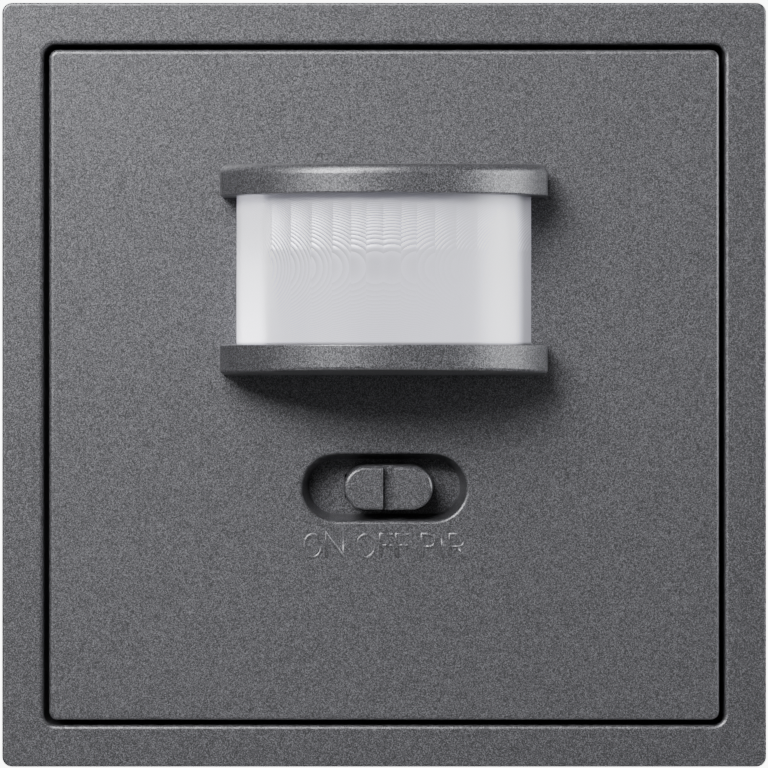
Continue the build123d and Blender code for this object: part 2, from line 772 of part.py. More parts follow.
def build_sensor(side):
    # round can on a flange, with a square filter window
    seat = sensor_plane(side)
    with BuildPart() as sensor:
        with BuildSketch(seat):
            Circle(sensor_flange_radius)
        extrude(amount=sensor_flange_thickness)
        with BuildSketch(seat):
            Circle(sensor_can_radius)
        extrude(amount=sensor_can_height)
        fillet(sensor.faces().sort_by(Axis(seat.origin, seat.z_dir))[-1].edges(), sensor_can_edge_radius)
        with BuildSketch(seat.offset(sensor_can_height - sensor_window_depth)):
            Rectangle(sensor_window_height, sensor_window_width)
        extrude(amount=sensor_window_depth, mode=Mode.SUBTRACT)
    return sensor


pyro_sensor_left = build_sensor(-1)
pyro_sensor_left.part.label = "pyro_sensor_left"
pyro_sensor_right = build_sensor(1)
pyro_sensor_right.part.label = "pyro_sensor_right"

# Indicator light behind the lens
with BuildPart() as indicator_led:
    with BuildSketch(Plane.XZ.offset(board_front)):
        with Locations((-side_part_place, lens_middle)):
            Circle(led_collar_radius)
    extrude(amount=led_collar_height)
    with BuildSketch(Plane.XZ.offset(board_front)):
        with Locations((-side_part_place, lens_middle)):
            Circle(led_radius)
    extrude(amount=led_height)
    fillet(indicator_led.faces().sort_by(Axis.Y)[0].edges(), led_radius * retainer_rim_share)
indicator_led.part.label = "indicator_led"

# Light sensor behind the lens
with BuildPart() as light_sensor:
    with BuildSketch(Plane.XZ.offset(board_front)):
        with Locations((side_part_place, lens_middle)):
            Rectangle(photodiode_size, photodiode_size)
    extrude(amount=photodiode_height)
    with BuildSketch(Plane.XZ.offset(board_front + photodiode_height - sensor_window_depth)):
        with Locations((side_part_place, lens_middle)):
            Circle(photodiode_window_radius)
    extrude(amount=sensor_window_depth, mode=Mode.SUBTRACT)
light_sensor.part.label = "light_sensor"

# Control chip
with BuildPart() as control_chip:
    with BuildSketch(Plane.XZ.offset(board_front)):
        with Locations((chip_place_x, chip_place_z)):
            Rectangle(chip_size, chip_size)
    extrude(amount=chip_height)
control_chip.part.label = "control_chip"

# Smoothing capacitor behind the board
with BuildPart() as smoothing_capacitor:
    with BuildSketch(Plane.XZ.offset(board_back)):
        with Locations((smoothing_place_x, smoothing_place_z)):
            Circle(smoothing_radius)
    extrude(amount=-smoothing_height)
    fillet(smoothing_capacitor.faces().sort_by(Axis.Y)[-1].edges(), smoothing_edge_radius)
smoothing_capacitor.part.label = "smoothing_capacitor"

# Pin header behind the board
with BuildPart() as pin_header:
    with BuildSketch(Plane.XZ.offset(board_back)):
        with Locations((0, pin_middle)):
            Rectangle(header_length, header_width)
        with Locations(*pin_places):
            Circle(pin_radius + pin_clearance, mode=Mode.SUBTRACT)
    extrude(amount=-header_height)
pin_header.part.label = "pin_header"

# Plug pins from the control board down into the insert's socket
with BuildPart() as plug_pins:
    with BuildSketch(Plane.XZ.offset(board_front + pin_solder_length)):
        with Locations(*pin_places):
            Circle(pin_radius)
    extrude(amount=-(board_front + pin_solder_length + pin_depth))
plug_pins.part.label = "plug_pins"

# Rear shell: flat tray around the board and a deeper bay that dips into the insert
with BuildPart() as rear_shell:
    with BuildSketch(Plane.XZ.offset(shell_floor_height)):
        RectangleRounded(shell_size, shell_size, shell_corner_radius)
    extrude(amount=plate_back - shell_floor_height)
    with BuildSketch(Plane.XZ.offset(bay_back)):
        RectangleRounded(bay_width, bay_height, bay_corner_radius)
    extrude(amount=bay_depth)
    with BuildSketch(Plane.XZ.offset(board_back)):
        RectangleRounded(
            shell_size - 2 * shell_wall, shell_size - 2 * shell_wall, shell_corner_radius - shell_wall
        )
    extrude(amount=plate_back - board_back, mode=Mode.SUBTRACT)
    with BuildSketch(Plane.XZ.offset(bay_back + shell_floor)):
        RectangleRounded(bay_width - 2 * shell_floor, bay_height - 2 * shell_floor, bay_corner_radius - shell_floor)
    extrude(amount=board_back - bay_back - shell_floor, mode=Mode.SUBTRACT)
    with BuildSketch(Plane.XZ.offset(bay_back)):
        with Locations(*dial_places):
            Circle(dial_radius + dial_hole_clearance)
        with Locations((0, pin_middle)):
            Rectangle(header_length + 2 * plug_slot_clearance, header_width)
    extrude(amount=shell_floor, mode=Mode.SUBTRACT)
    with BuildSketch(Plane.XZ.offset(shell_floor_height)):
        with Locations((0, board_screw_low_z)):
            Circle(board_screw_head_radius + plug_slot_clearance)
    extrude(amount=shell_floor, mode=Mode.SUBTRACT)
    with BuildSketch(Plane.XZ.offset(catch_low + catch_nose_height + catch_play)):
        with GridLocations(shell_size + lug_proud, 2 * lug_place, 2, 2):
            Rectangle(lug_proud, lug_length)
    extrude(amount=lug_height)
rear_shell.part.label = "rear_shell"

# Setting dials with their trimmers, side by side behind the board
trimmer_back = board_back - trimmer_height
dial_back = bay_back + dial_recess
dial_front = trimmer_back - dial_gap


def build_trimmer(place_x):
    with BuildPart() as trimmer:
        with BuildSketch(Plane.XZ.offset(trimmer_back)):
            with Locations((place_x, dial_middle)):
                Rectangle(trimmer_size, trimmer_size)
        extrude(amount=trimmer_height)
        with BuildSketch(Plane.XZ.offset(trimmer_back)):
            with Locations((place_x, dial_middle)):
                Circle(dial_shaft_radius + dial_fit)
        extrude(amount=dial_shaft_length - dial_gap + dial_fit, mode=Mode.SUBTRACT)
    return trimmer


def build_dial(place_x):
    with BuildPart() as dial:
        with BuildSketch(Plane.XZ.offset(dial_back)):
            with Locations((place_x, dial_middle)):
                Circle(dial_radius)
        extrude(amount=dial_front - dial_back)
        fillet(dial.faces().sort_by(Axis.Y)[-1].edges(), dial_edge_radius)
        with BuildSketch(Plane.XZ.offset(dial_front)):
            with Locations((place_x, dial_middle)):
                Circle(dial_shaft_radius)
        extrude(amount=dial_shaft_length)
        with BuildSketch(Plane.XZ.offset(dial_back)):
            with Locations((place_x, dial_middle)):
                Rectangle(dial_slot_width, 2 * dial_radius + overrun)
        extrude(amount=dial_slot_depth, mode=Mode.SUBTRACT)
    return dial


trimmers = {}
dials = {}
for setting, (place_x, _) in zip(("brightness", "time", "range"), dial_places):
    trimmers[setting] = build_trimmer(place_x)
    trimmers[setting].part.label = setting + "_trimmer"
    dials[setting] = build_dial(place_x)
    dials[setting].part.label = setting + "_dial"

# Support ring: stamped steel plate with a drawn collar, bent tabs and slotted screw holes
with BuildPart() as support_ring:
    with BuildSketch(Plane.XZ) as ring_plan:
        Rectangle(ring_size, ring_size)
        chamfer(ring_plan.vertices(), ring_corner_cut)
        with Locations((0, ring_size / 2), (0, -ring_size / 2)):
            Circle(ring_notch_radius, mode=Mode.SUBTRACT)
    extrude(amount=ring_thickness)
    with BuildSketch(Plane.XZ):
        RectangleRounded(
            ring_opening_width + 2 * ring_thickness,
            ring_opening_height + 2 * ring_thickness,
            ring_opening_radius + ring_thickness,
        )
    extrude(amount=ring_thickness + ring_collar_height)
    with BuildSketch(Plane.XZ.offset(ring_thickness)):
        with GridLocations(2 * tab_place_x, 2 * tab_place_z, 2, 2):
            Rectangle(tab_width, ring_thickness)
    extrude(amount=tab_height)
    bend_edges = support_ring.edges().filter_by(Axis.X).filter_by(
        lambda edge: abs(edge.center().Y + ring_thickness) < tab_bend_radius / 2
        and abs(edge.length - tab_width) < tab_bend_radius / 2
    )
    fillet(bend_edges, tab_bend_radius)
    with Locations(
        *[
            (side * tab_place_x, -(tab_window_low + tab_window_high) / 2, end * tab_place_z)
            for side in (-1, 1)
            for end in (-1, 1)
        ]
    ):
        Box(tab_window_width, tab_window_high - tab_window_low, 2 * ring_thickness, mode=Mode.SUBTRACT)
    with BuildSketch(Plane.XZ):
        RectangleRounded(ring_opening_width, ring_opening_height, ring_opening_radius)
        with GridLocations(screw_pitch, 0, 2, 1):
            SlotOverall(screw_slot_length, screw_slot_width)
        with GridLocations(2 * column_place, 2 * column_place, 2, 2):
            Circle(ring_screw_radius + ring_screw_clearance)
        with GridLocations(0, 2 * claw_screw_place, 1, 2):
            Circle(claw_screw_radius + claw_screw_clearance)
    extrude(amount=ring_thickness + ring_collar_height, mode=Mode.SUBTRACT)
support_ring.part.label = "support_ring"

# Ring screws: through ring, lid and power board into the base's columns
with BuildPart() as ring_screws:
    with BuildSketch(Plane.XZ.offset(ring_thickness)):
        with GridLocations(2 * column_place, 2 * column_place, 2, 2):
            Circle(ring_screw_radius)
    extrude(amount=-ring_screw_length)
    for side in (-1, 1):
        for end in (-1, 1):
            slotted_head(
                ring_screw_head_radius, ring_screw_head_height, side * column_place, end * column_place, ring_thickness
            )
ring_screws.part.label = "ring_screws"

# Insert base: rear wall with the wire entries and the columns that take the ring screws
with BuildPart() as insert_base:
    with BuildSketch(Plane.XZ.offset(-insert_depth)):
        insert_outline(0)
    extrude(amount=insert_wall)
    fillet(insert_base.faces().sort_by(Axis.Y)[-1].edges(), insert_edge_radius)
    with BuildSketch(Plane.XZ.offset(housing_floor)):
        with GridLocations(2 * column_place, 2 * column_place, 2, 2):
            Circle(column_radius)
    extrude(amount=power_board_back - housing_floor)
    with BuildSketch(Plane.XZ.offset(power_board_back)):
        with GridLocations(2 * column_place, 2 * column_place, 2, 2):
            Circle(ring_screw_radius + ring_screw_clearance)
    extrude(amount=-column_bore_depth, mode=Mode.SUBTRACT)
    with BuildSketch(Plane.XZ.offset(-insert_depth)):
        with Locations(*[(place, wire_place) for place in terminal_places]):
            Circle(wire_hole_radius)
    extrude(amount=insert_wall, mode=Mode.SUBTRACT)
insert_base.part.label = "insert_base"

# Insert housing: tube with a channel for each claw, screwdriver holes and pivot pin holes
with BuildPart() as insert_housing:
    with BuildSketch(Plane.XZ.offset(housing_floor)):
        insert_outline(0)
    extrude(amount=-housing_floor)
    with BuildSketch(Plane.XZ.offset(housing_floor)):
        insert_outline(insert_wall)
    extrude(amount=-housing_floor, mode=Mode.SUBTRACT)
    screw_hole_depth = housing_floor + clamp_back_gap + clamp_length / 2
    with BuildSketch(Plane.XY.offset(-insert_size / 2)):
        with Locations(*[(place, -screw_hole_depth) for place in terminal_places]):
            Circle(terminal_screw_head_radius + claw_screw_clearance)
    extrude(amount=insert_wall, mode=Mode.SUBTRACT)
    pin_span = channel_width + 2 * insert_wall
    with BuildSketch(Plane.YZ.offset(-pin_span / 2)):
        with Locations((claw_pivot_depth, claw_pivot_place), (claw_pivot_depth, -claw_pivot_place)):
            Circle(claw_pin_radius + claw_fit / 2)
    extrude(amount=pin_span, mode=Mode.SUBTRACT)
insert_housing.part.label = "insert_housing"

# Insert lid with the socket window and tubular bosses between ring and power board
with BuildPart() as insert_lid:
    with BuildSketch(Plane.XZ.offset(lid_back)):
        insert_outline(insert_wall + lid_gap)
        with Locations((0, pin_middle)):
            Rectangle(header_length + 2 * plug_slot_clearance, header_width, mode=Mode.SUBTRACT)
    extrude(amount=lid_thickness)
    with BuildSketch(Plane.XZ.offset(power_board_front)):
        with GridLocations(2 * column_place, 2 * column_place, 2, 2):
            Circle(lid_boss_radius)
    extrude(amount=power_board_depth)
    with BuildSketch(Plane.XZ.offset(power_board_front)):
        with GridLocations(2 * column_place, 2 * column_place, 2, 2):
            Circle(ring_screw_radius + ring_screw_clearance)
    extrude(amount=power_board_depth, mode=Mode.SUBTRACT)
insert_lid.part.label = "insert_lid"

# Socket block on the power board, with a contact sleeve for each pin
socket_front = lid_back - socket_gap
with BuildPart() as socket_block:
    with BuildSketch(Plane.XZ.offset(power_board_front)):
        with Locations((0, pin_middle)):
            Rectangle(header_length + socket_margin, socket_width)
    extrude(amount=socket_front - power_board_front)
    with BuildSketch(Plane.XZ.offset(socket_front)):
        with Locations(*pin_places):
            Circle(contact_radius + pin_clearance)
    extrude(amount=-contact_depth, mode=Mode.SUBTRACT)
socket_block.part.label = "socket_block"

with BuildPart() as socket_contacts:
    with BuildSketch(Plane.XZ.offset(socket_front)):
        with Locations(*pin_places):
            Circle(contact_radius)
        with Locations(*pin_places):
            Circle(pin_radius + pin_clearance, mode=Mode.SUBTRACT)
    extrude(amount=-contact_depth)
socket_contacts.part.label = "socket_contacts"

# Power board
with BuildPart() as power_board:
    with BuildSketch(Plane.XZ.offset(power_board_back)):
        insert_outline(insert_wall + lid_gap)
        with GridLocations(2 * column_place, 2 * column_place, 2, 2):
            Circle(ring_screw_radius + ring_screw_clearance, mode=Mode.SUBTRACT)
        with Locations(*[(place, wire_place) for place in terminal_places]):
            Circle(clamp_leg_radius + clamp_leg_clearance, mode=Mode.SUBTRACT)
    extrude(amount=board_thickness)
power_board.part.label = "power_board"

# Relay
with BuildPart() as relay:
    with BuildSketch(Plane.XZ.offset(power_board_back)):
        with Locations((relay_place_x, relay_place_z)):
            Rectangle(relay_width, relay_height)
    extrude(amount=-relay_depth)
    fillet(relay.faces().sort_by(Axis.Y)[-1].edges(), relay_edge_radius)
relay.part.label = "relay"

# Film capacitor
with BuildPart() as film_capacitor:
    with BuildSketch(Plane.XZ.offset(power_board_back)):
        with Locations((film_place_x, film_place_z)):
            Rectangle(film_width, film_height)
    extrude(amount=-film_depth)
    fillet(film_capacitor.faces().sort_by(Axis.Y)[-1].edges(), relay_edge_radius)
film_capacitor.part.label = "film_capacitor"

# Choke: bobbin with two flanges
with BuildPart() as choke:
    with BuildSketch(Plane.XZ.offset(power_board_back)):
        with Locations((choke_place_x, choke_place_z)):
            Circle(choke_radius)
    extrude(amount=-choke_depth)
    with BuildSketch(Plane.XZ.offset(power_board_back - choke_flange)):
        with Locations((choke_place_x, choke_place_z)):
            Circle(choke_radius)
            Circle((choke_radius + choke_core_radius) / 2, mode=Mode.SUBTRACT)
    extrude(amount=-(choke_depth - 2 * choke_flange), mode=Mode.SUBTRACT)
choke.part.label = "choke"

# Varistor, a coated disc in front of the power board
with BuildPart() as varistor:
    with BuildSketch(Plane.XZ.offset(power_board_front)):
        with Locations((varistor_place_x, varistor_place_z)):
            Circle(varistor_radius)
    extrude(amount=varistor_depth)
    fillet(varistor.faces().sort_by(Axis.Y)[0].edges(), varistor_edge_radius)
varistor.part.label = "varistor"

# Fuse with its two end caps, lying on the power board
with BuildPart() as fuse:
    fuse_height = power_board_front + fuse_cap_radius
    with BuildSketch(Plane.YZ.offset(fuse_place_x - fuse_length / 2)):
        with Locations((-fuse_height, fuse_place_z)):
            Circle(fuse_radius)
    extrude(amount=fuse_length)
    for cap_start in (fuse_place_x - fuse_length / 2, fuse_place_x + fuse_length / 2 - fuse_cap_length):
        with BuildSketch(Plane.YZ.offset(cap_start)):
            with Locations((-fuse_height, fuse_place_z)):
                Circle(fuse_cap_radius)
        extrude(amount=fuse_cap_length)
fuse.part.label = "fuse"

# Terminal clamps: brass cages open along the wire, with a leg to the power board
clamp_back = housing_floor + clamp_back_gap
clamp_middle = clamp_top - clamp_height / 2
with BuildPart() as terminal_clamps:
    with BuildSketch(Plane.XZ.offset(clamp_back)):
        with Locations(*[(place, clamp_middle) for place in terminal_places]):
            Rectangle(clamp_width, clamp_height)
    extrude(amount=clamp_length)
    with BuildSketch(Plane.XZ.offset(clamp_back)):
        with Locations(*[(place, clamp_middle) for place in terminal_places]):
            Rectangle(clamp_width - 2 * clamp_wall, clamp_height - 2 * clamp_wall)
    extrude(amount=clamp_length - clamp_wall, mode=Mode.SUBTRACT)
    with BuildSketch(Plane.XY.offset(clamp_top - clamp_height)):
        with Locations(*[(place, -screw_hole_depth) for place in terminal_places]):
            Circle(terminal_screw_radius + terminal_screw_clearance)
    extrude(amount=clamp_wall, mode=Mode.SUBTRACT)
    with BuildSketch(Plane.XZ.offset(clamp_back + clamp_length)):
        with Locations(*[(place, wire_place) for place in terminal_places]):
            Circle(clamp_leg_radius)
    extrude(amount=power_board_front + clamp_leg_radius - clamp_back - clamp_length)
terminal_clamps.part.label = "terminal_clamps"

# Terminal screws, driven from below through the housing wall
terminal_head_low = -insert_size / 2 + terminal_screw_sink
with BuildPart() as terminal_screws:
    with BuildSketch(Plane.XY.offset(terminal_head_low)):
        with Locations(*[(place, -screw_hole_depth) for place in terminal_places]):
            Circle(terminal_screw_head_radius)
    extrude(amount=terminal_screw_head_height)
    with BuildSketch(Plane.XY.offset(terminal_head_low)):
        with Locations(*[(place, -screw_hole_depth) for place in terminal_places]):
            Rectangle(2 * terminal_screw_head_radius, 2 * terminal_screw_head_radius * screw_slot_share)
    extrude(amount=terminal_screw_head_height / 2, mode=Mode.SUBTRACT)
    with BuildSketch(Plane.XY.offset(terminal_head_low + terminal_screw_head_height)):
        with Locations(*[(place, -screw_hole_depth) for place in terminal_places]):
            Circle(terminal_screw_radius)
    extrude(amount=clamp_top - clamp_height + terminal_screw_reach - terminal_head_low - terminal_screw_head_height)
terminal_screws.part.label = "terminal_screws"

# Claw pivot pins across the channels
with BuildPart() as claw_pins:
    with BuildSketch(Plane.YZ.offset(-pin_span / 2)):
        with Locations((claw_pivot_depth, claw_pivot_place), (claw_pivot_depth, -claw_pivot_place)):
            Circle(claw_pin_radius)
    extrude(amount=pin_span)
claw_pins.part.label = "claw_pins"

# Upper claw: folded lever with a slotted foot, two cheeks and a toothed jaw
foot_back = claw_pivot_depth + claw_foot_drop
foot_front = foot_back - claw_foot_thickness
jaw_back = claw_jaw_depth + claw_jaw_thickness
foot_end = claw_pivot_place + claw_foot_reach
arm_inner = claw_pivot_place - claw_arm_inner
arm_outer = claw_pivot_place + claw_arm_outer
jaw_tip = claw_pivot_place + claw_jaw_reach
with BuildPart() as claw_top:
    with BuildSketch(Plane.YZ.offset(-claw_width / 2)):
        with Locations((claw_pivot_depth, claw_pivot_place)):
            Circle(claw_hub_radius)
        with BuildLine():
            Polyline(
                (foot_front, claw_pivot_place),
                (foot_front, foot_end),
                (foot_back, foot_end),
                (foot_back, arm_outer),
                (claw_jaw_depth, arm_outer),
                (claw_jaw_depth, jaw_tip),
                (claw_jaw_depth + claw_jaw_thickness / 2, jaw_tip - claw_tooth_depth),
                (jaw_back, jaw_tip),
                (jaw_back, arm_inner),
                (claw_pivot_depth, arm_inner),
                close=True,
            )
        make_face()
    extrude(amount=claw_width)
    with BuildSketch(Plane.YZ.offset(-claw_width / 2 + claw_cheek)):
        with BuildLine():
            Polyline(
                (foot_back, arm_inner - overrun),
                (foot_back, foot_end + overrun),
                (claw_jaw_depth, foot_end + overrun),
                (claw_jaw_depth, arm_inner - overrun),
                close=True,
            )
        make_face()
    extrude(amount=claw_width - 2 * claw_cheek, mode=Mode.SUBTRACT)
    with BuildSketch(Plane.XZ.offset(-foot_back)):
        with Locations((0, claw_pivot_place + (claw_slot_start + claw_slot_end) / 2)):
            Rectangle(claw_slot_width, claw_slot_end - claw_slot_start)
    extrude(amount=claw_foot_thickness, mode=Mode.SUBTRACT)
    with BuildSketch(Plane.YZ.offset(-claw_width / 2)):
        with Locations((claw_pivot_depth, claw_pivot_place)):
            Circle(claw_pin_radius + claw_fit)
    extrude(amount=claw_width, mode=Mode.SUBTRACT)
claw_top.part.label = "claw_top"

with BuildPart() as claw_bottom:
    mirror(claw_top.part, about=Plane.XY)
claw_bottom.part.label = "claw_bottom"


def build_nut(end):
    # barrel nut lying under the foot, cross-bored for its screw
    nut_depth = foot_back + nut_gap + nut_radius
    with BuildPart() as nut:
        with BuildSketch(Plane.YZ.offset(-nut_length / 2)):
            with Locations((nut_depth, end * claw_screw_place)):
                Circle(nut_radius)
        extrude(amount=nut_length)
        with BuildSketch(Plane.XZ.offset(-nut_depth - nut_radius)):
            with Locations((0, end * claw_screw_place)):
                Circle(claw_screw_radius + nut_fit)
        extrude(amount=2 * nut_radius, mode=Mode.SUBTRACT)
    return nut


def build_claw_screw(end):
    with BuildPart() as screw:
        with BuildSketch(Plane.XZ.offset(ring_thickness)):
            with Locations((0, end * claw_screw_place)):
                Circle(claw_screw_radius)
        extrude(amount=-(ring_thickness + claw_screw_length))
        slotted_head(claw_screw_head_radius, claw_screw_head_height, 0, end * claw_screw_place, ring_thickness)
    return screw


claw_nut_top = build_nut(1)
claw_nut_top.part.label = "claw_nut_top"
claw_nut_bottom = build_nut(-1)
claw_nut_bottom.part.label = "claw_nut_bottom"
claw_screw_top = build_claw_screw(1)
claw_screw_top.part.label = "claw_screw_top"
claw_screw_bottom = build_claw_screw(-1)
claw_screw_bottom.part.label = "claw_screw_bottom"

pieces = [
    frame,
    cover_plate,
    fresnel_lens,
    lens_retainer,
    slider_knob,
    slide_switch_body,
    slide_switch_actuator,
    control_board,
    board_screws,
    sensor_holder,
    pyro_sensor_left,
    pyro_sensor_right,
    indicator_led,
    light_sensor,
    control_chip,
    smoothing_capacitor,
    pin_header,
    plug_pins,
    rear_shell,
    *trimmers.values(),
    *dials.values(),
    support_ring,
    ring_screws,
    insert_lid,
    insert_housing,
    insert_base,
    socket_block,
    socket_contacts,
    power_board,
    relay,
    film_capacitor,
    choke,
    varistor,
    fuse,
    terminal_clamps,
    terminal_screws,
    claw_pins,
    claw_top,
    claw_bottom,
    claw_nut_top,
    claw_nut_bottom,
    claw_screw_top,
    claw_screw_bottom,
]
os.makedirs("parts", exist_ok=True)
for piece in pieces:
    export_step(piece.part, f"parts/{piece.part.label}.step")
print(len(pieces), "pieces written")
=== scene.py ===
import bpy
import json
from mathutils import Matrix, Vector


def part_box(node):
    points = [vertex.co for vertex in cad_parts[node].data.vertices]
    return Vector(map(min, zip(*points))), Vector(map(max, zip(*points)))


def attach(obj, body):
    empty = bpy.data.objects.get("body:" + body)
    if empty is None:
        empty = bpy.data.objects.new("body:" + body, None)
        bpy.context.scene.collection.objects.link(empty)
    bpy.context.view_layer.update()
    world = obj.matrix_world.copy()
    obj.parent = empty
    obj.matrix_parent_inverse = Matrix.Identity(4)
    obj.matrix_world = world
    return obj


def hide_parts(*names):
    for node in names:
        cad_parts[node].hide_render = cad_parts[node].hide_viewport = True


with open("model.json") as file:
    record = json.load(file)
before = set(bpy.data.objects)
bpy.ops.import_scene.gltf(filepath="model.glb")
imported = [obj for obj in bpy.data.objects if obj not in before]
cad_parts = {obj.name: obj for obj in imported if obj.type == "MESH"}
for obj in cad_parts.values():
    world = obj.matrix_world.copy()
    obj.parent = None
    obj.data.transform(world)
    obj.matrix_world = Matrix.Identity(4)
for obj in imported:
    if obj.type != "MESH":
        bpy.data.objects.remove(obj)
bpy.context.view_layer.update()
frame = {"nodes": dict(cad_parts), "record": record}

import json
from math import cos, pi, radians, sin

import bmesh
import bpy
from mathutils import Vector

mm = 0.001
nodes = frame["nodes"]
record = frame["record"]
unitBody = "switch_unit"
plateProud = 0.0006          # how far the cover plate stands before the frame
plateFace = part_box("frame")[0][1] - plateProud
print("frame loaded:", len(nodes), "CAD pieces")


# Camera: square on to the plate, a little above and right of its middle, long lens

camera = {
    "distance": 0.448,       # from the plate's face
    "right": 0.0023,
    "up": 0.003,
    "turn": 0.0,             # degrees, positive looks left
    "pitch": 0.0,            # degrees, positive looks up
    "roll": 0.0,
    "frameWidth": 0.0812,    # how much of the plate's plane the picture spans
    "shiftX": -0.0285,
    "shiftZ": -0.0358,
    "sensor": 36.0,
    "nearest": 0.01,
    "farthest": 20.0,
}


def addCamera():
    data = bpy.data.cameras.new("camera")
    data.sensor_width = camera["sensor"]
    data.lens = camera["sensor"] * camera["distance"] / camera["frameWidth"]
    data.shift_x = camera["shiftX"]
    data.shift_y = camera["shiftZ"]
    data.clip_start = camera["nearest"]
    data.clip_end = camera["farthest"]
    data.dof.use_dof = False
    holder = bpy.data.objects.new("camera", data)
    holder.location = (camera["right"], plateFace - camera["distance"], camera["up"])
    holder.rotation_mode = "XYZ"
    holder.rotation_euler = (
        radians(90 + camera["pitch"]),
        radians(camera["roll"]),
        radians(camera["turn"]),
    )
    bpy.context.scene.collection.objects.link(holder)
    bpy.context.scene.camera = holder


addCamera()
print("camera placed")


# Lights: one soft box throws the shadows, two more only glint, a fourth comes from far right.
# Azimuth 0 is straight before the plate, positive is to its right.

lights = {
    "above": {
        "azimuth": -15, "elevation": 24, "distance": 0.4, "width": 0.15, "height": 0.12,
        "power": 2.95, "colour": (1.0, 0.995, 0.985), "diffuse": True, "glint": False,
    },
    "left": {
        "azimuth": -36, "elevation": 26, "distance": 0.5, "width": 0.2, "height": 0.14,
        "power": 4.5, "colour": (1.0, 1.0, 1.0), "diffuse": False, "glint": True,
    },
    "overhead": {
        "azimuth": -28, "elevation": 50, "distance": 0.4, "width": 0.24, "height": 0.2,
        "power": 2.6, "colour": (1.0, 1.0, 1.0), "diffuse": False, "glint": True,
    },
    "right": {
        "azimuth": 84, "elevation": 14, "distance": 0.5, "width": 0.3, "height": 0.24,
        "power": 2.55, "colour": (0.98, 0.99, 1.0), "diffuse": True, "glint": True,
    },
}
aimProud = 0.0066            # the lights point at a spot this far before the plate


def addLights():
    target = Vector((0.0, plateFace - aimProud, 0.0))
    for name, light in lights.items():
        data = bpy.data.lights.new(name, "AREA")
        data.shape = "RECTANGLE"
        data.size = light["width"]
        data.size_y = light["height"]
        data.energy = light["power"]
        data.color = light["colour"]
        lamp = bpy.data.objects.new(name, data)
        side, lift = radians(light["azimuth"]), radians(light["elevation"])
        away = Vector((sin(side) * cos(lift), -cos(side) * cos(lift), sin(lift)))
        lamp.location = target + away * light["distance"]
        lamp.rotation_mode = "QUATERNION"
        lamp.rotation_quaternion = (-away).to_track_quat("-Z", "Y")
        lamp.visible_diffuse = light["diffuse"]
        lamp.visible_glossy = light["glint"]
        bpy.context.scene.collection.objects.link(lamp)


# Stage: a pale wall that glows for the camera alone, a pale floor, a faint even sky

stage = {
    "distance": 1.25,        # of the wall behind the switch
    "size": 2.4,
    "floor": -0.32,
    "tone": 0.8,
    "roughness": 0.9,
    "wallGlow": 9.0,
    "sky": 0.12,
}


def stagePlane(name, corners, material):
    mesh = bpy.data.meshes.new(name)
    mesh.from_pydata(corners, [], [(0, 1, 2, 3)])
    plane = bpy.data.objects.new(name, mesh)
    plane.data.materials.append(material)
    bpy.context.scene.collection.objects.link(plane)
    return plane


def paleMaterial(name, glow):
    material = bpy.data.materials.new(name)
    material.use_nodes = True
    shader = material.node_tree.nodes["Principled BSDF"]
    shader.inputs["Base Color"].default_value = (stage["tone"], stage["tone"], stage["tone"], 1)
    shader.inputs["Roughness"].default_value = stage["roughness"]
    shader.inputs["Emission Color"].default_value = (1, 1, 1, 1)
    shader.inputs["Emission Strength"].default_value = glow
    return material


def addStage():
    size, back, low = stage["size"], stage["distance"], stage["floor"]
    wallCorners = [(-size, back, low), (size, back, low), (size, back, size), (-size, back, size)]
    floorCorners = [(-size, -size, low), (size, -size, low), (size, back, low), (-size, back, low)]
    wall = stagePlane("backdrop", wallCorners, paleMaterial("pale backdrop", stage["wallGlow"]))
    wall.visible_diffuse = False
    wall.visible_glossy = False
    stagePlane("floor", floorCorners, paleMaterial("pale floor", 0.0))
    sky = bpy.data.worlds.new("studio")
    sky.use_nodes = True
    light = sky.node_tree.nodes["Background"]
    light.inputs["Color"].default_value = (1, 1, 1, 1)
    light.inputs["Strength"].default_value = stage["sky"]
    bpy.context.scene.world = sky


addLights()
addStage()
print("studio lit")


# Node helpers

def newMaterial(name):
    material = bpy.data.materials.new(name)
    material.use_nodes = True
    tree = material.node_tree
    return material, tree, tree.nodes["Principled BSDF"]


def addNode(tree, kind, **settings):
    node = tree.nodes.new(kind)
    for key, value in settings.items():
        setattr(node, key, value)
    return node


def objectPoint(tree):
    return addNode(tree, "ShaderNodeTexCoord").outputs["Object"]


def noiseTexture(tree, size, detail, roughness):
    node = addNode(tree, "ShaderNodeTexNoise")
    tree.links.new(objectPoint(tree), node.inputs["Vector"])
    node.inputs["Scale"].default_value = 1 / size
    node.inputs["Detail"].default_value = detail
    node.inputs["Roughness"].default_value = roughness
    return node.outputs["Fac"]


def cellTexture(tree, size):
    node = addNode(tree, "ShaderNodeTexVoronoi", feature="F1")
    tree.links.new(objectPoint(tree), node.inputs["Vector"])
    node.inputs["Scale"].default_value = 1 / size
    return node.outputs["Color"]


def mapRange(tree, value, low, high, newLow, newHigh):
    node = addNode(tree, "ShaderNodeMapRange")
    tree.links.new(value, node.inputs["Value"])
    for key, number in zip(("From Min", "From Max", "To Min", "To Max"), (low, high, newLow, newHigh)):
        node.inputs[key].default_value = number
    return node.outputs["Result"]


def fade(tree, place, span):
    # a span runs from one place in mm to another, and says which share of the effect is left at each
    (low, lowShare), (high, highShare) = span
    return mapRange(tree, place, low * mm, high * mm, lowShare, highShare)


def feed(tree, socket, value):
    # a number or a colour is set on the socket, anything else is linked to it
    if isinstance(value, (int, float, tuple)):
        socket.default_value = value
    elif value is not None:
        tree.links.new(value, socket)


def reckon(tree, operation, first, second=None):
    node = addNode(tree, "ShaderNodeMath", operation=operation)
    feed(tree, node.inputs[0], first)
    feed(tree, node.inputs[1], second)
    return node.outputs["Value"]


def multiply(tree, first, *others):
    for other in others:
        first = reckon(tree, "MULTIPLY", first, other)
    return first


